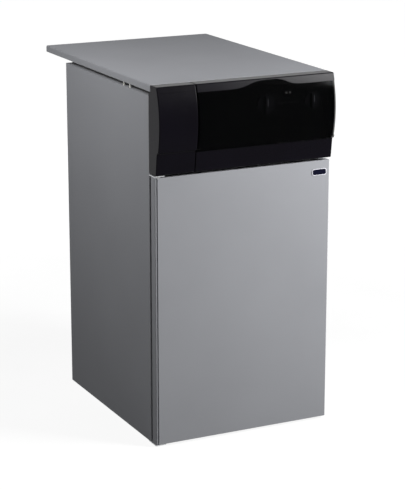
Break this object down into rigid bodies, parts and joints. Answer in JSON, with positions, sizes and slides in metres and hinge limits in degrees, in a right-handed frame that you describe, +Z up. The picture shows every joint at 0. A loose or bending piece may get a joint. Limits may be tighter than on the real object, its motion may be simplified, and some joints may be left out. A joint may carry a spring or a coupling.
{
  "type": "floor standing gas boiler",
  "caption": "Worktop-high floor standing gas boiler with a grey casing, a hinged door, a black bulged control panel with a smoked flap, and a finned cast-iron exchanger inside.",
  "frame": {"origin": "on the floor, at the centre of the object's footprint", "axes": "+X to the viewer's right, +Y to the back, +Z up"},
  "size_m": [0.45, 0.677, 0.85],
  "materials": {
    "casing_paint": "satin silver-grey stove paint",
    "black_metal": "matt black paint",
    "zinc_steel": "zinc-coated sheet",
    "aluminised_steel": "aluminised sheet",
    "plain_steel": "plain steel",
    "stainless": "stainless steel",
    "screw_steel": "bright plated steel",
    "cast_iron": "as-cast grey iron",
    "cast_aluminium": "die-cast",
    "brass": "turned brass",
    "black_plastic": "moulded, semi-gloss",
    "fascia_plastic": "fine grain",
    "knob_plastic": "fine grain",
    "smoked_plastic": "smoked, nearly black, polished",
    "lens_plastic": "clear moulded lens",
    "badge_enamel": "dark blue with a pale rim",
    "switch_plastic": "moulded phenolic",
    "foot_plastic": "moulded nylon",
    "nylon": "natural nylon",
    "lever_plastic": "red dipped lever",
    "magnet": "ferrite",
    "circuit_board": "green solder mask",
    "electrode_ceramic": "glazed white",
    "mineral_wool": "faced wool",
    "sight_glass": "clear heat-resisting glass"
  },
  "bodies": {
    "casing": {"right_side_panel": "casing_paint", "left_side_panel": "casing_paint", "rear_panel": "zinc_steel", "base_frame": "zinc_steel", "glide_pads": "foot_plastic", "top_lid": "casing_paint", "lid_rails": "black_metal", "lid_clips": "nylon", "front_cross_rail": "zinc_steel", "hinge_brackets": "zinc_steel", "door_catch_magnets": "magnet", "casing_screws": "screw_steel", "control_housing": "black_plastic", "filler_panel": "black_plastic", "flap_hinge_pins": "screw_steel", "control_fascia": "fascia_plastic", "indicator_lenses": "lens_plastic", "temperature_control": "switch_plastic", "selector_switch": "switch_plastic", "control_box": "zinc_steel", "control_board": "circuit_board", "terminal_block": "nylon", "cable_gland": "foot_plastic", "left_end_section": "cast_iron", "right_end_section": "cast_iron", "middle_sections": "cast_iron", "section_nipples": "plain_steel", "tie_rods": "screw_steel", "flow_pipe": "plain_steel", "return_pipe": "plain_steel", "insulation_jacket": "mineral_wool", "combustion_base": "plain_steel", "burner_front_plate": "zinc_steel", "burner_bars": "stainless", "gas_manifold": "plain_steel", "injectors": "brass", "sight_glass_frame": "plain_steel", "sight_glass": "sight_glass", "ignition_electrode": "electrode_ceramic", "flame_sensor": "electrode_ceramic", "ignition_module": "foot_plastic", "gas_valve_body": "cast_aluminium", "gas_valve_coils": "switch_plastic", "valve_outlet_pipe": "plain_steel", "gas_inlet_pipe": "plain_steel", "drain_cock_body": "brass", "limit_thermostat": "brass", "temperature_sensor": "brass", "flue_collector": "aluminised_steel", "draught_diverter": "aluminised_steel", "flue_spigot": "aluminised_steel"},
    "door": {"front_door": "casing_paint", "door_badge": "badge_enamel", "door_hinge_bushes": "nylon"},
    "flap": {"flap": "smoked_plastic"},
    "temperature_knob": {"temperature_knob": "knob_plastic", "temperature_shaft": "screw_steel"},
    "selector_knob": {"selector_knob": "knob_plastic", "selector_shaft": "screw_steel"},
    "drain_lever": {"drain_cock_lever": "lever_plastic"}
  },
  "joints": [
    {"name": "door_hinge", "type": "hinge", "parent": "casing", "child": "door", "pos_m": [-0.215, -0.3005, 0.324], "axis": [0, 0, -1], "range_deg": [0, 110]},
    {"name": "flap_hinge", "type": "hinge", "parent": "casing", "child": "flap", "pos_m": [0.05, -0.32521, 0.703], "axis": [1, 0, 0], "range_deg": [0, 95]},
    {"name": "temperature_turn", "type": "hinge", "parent": "casing", "child": "temperature_knob", "pos_m": [0.051, -0.3225, 0.789], "axis": [0, 1, 0], "range_deg": [-135, 135]},
    {"name": "selector_turn", "type": "hinge", "parent": "casing", "child": "selector_knob", "pos_m": [0.171, -0.3225, 0.789], "axis": [0, 1, 0], "range_deg": [-60, 60]},
    {"name": "drain_turn", "type": "hinge", "parent": "casing", "child": "drain_lever", "pos_m": [0.148, -0.2115, 0.285], "axis": [0, 0, 1], "range_deg": [0, 90]}
  ]
}
